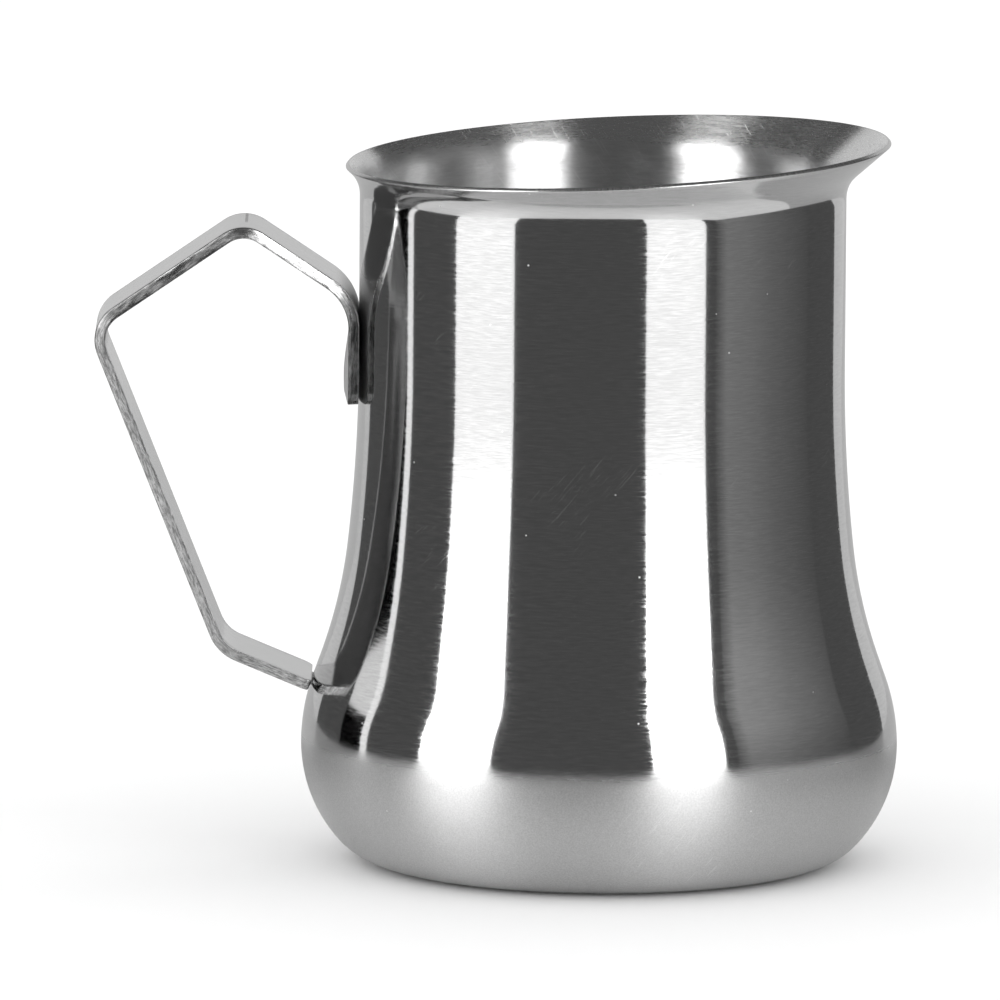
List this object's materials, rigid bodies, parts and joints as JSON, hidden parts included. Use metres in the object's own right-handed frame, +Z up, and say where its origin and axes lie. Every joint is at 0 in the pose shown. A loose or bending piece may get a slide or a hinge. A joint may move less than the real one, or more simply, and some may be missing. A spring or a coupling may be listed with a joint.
{
  "type": "milk frothing pitcher",
  "caption": "Small bell-shaped steel frothing jug with a flared, slanted rim and an open angular handle bent from flat strip.",
  "frame": {"origin": "on the jug's axis, in the plane of the standing ring", "axes": "+Z up along the jug's axis, +X towards the pouring side where the rim is highest, handle on the -X side"},
  "size_m": [0.1078, 0.08, 0.0975],
  "materials": {
    "polished_steel": "bright spun stainless steel with fine rings round the axis",
    "strip_steel": "satin stainless strip with rough sheared edges",
    "weld_steel": "dull resistance weld metal"
  },
  "bodies": {
    "root": {"jug_body": "polished_steel", "handle_strip": "strip_steel", "neck_spot_welds": "weld_steel", "foot_weld": "weld_steel"}
  },
  "joints": []
}
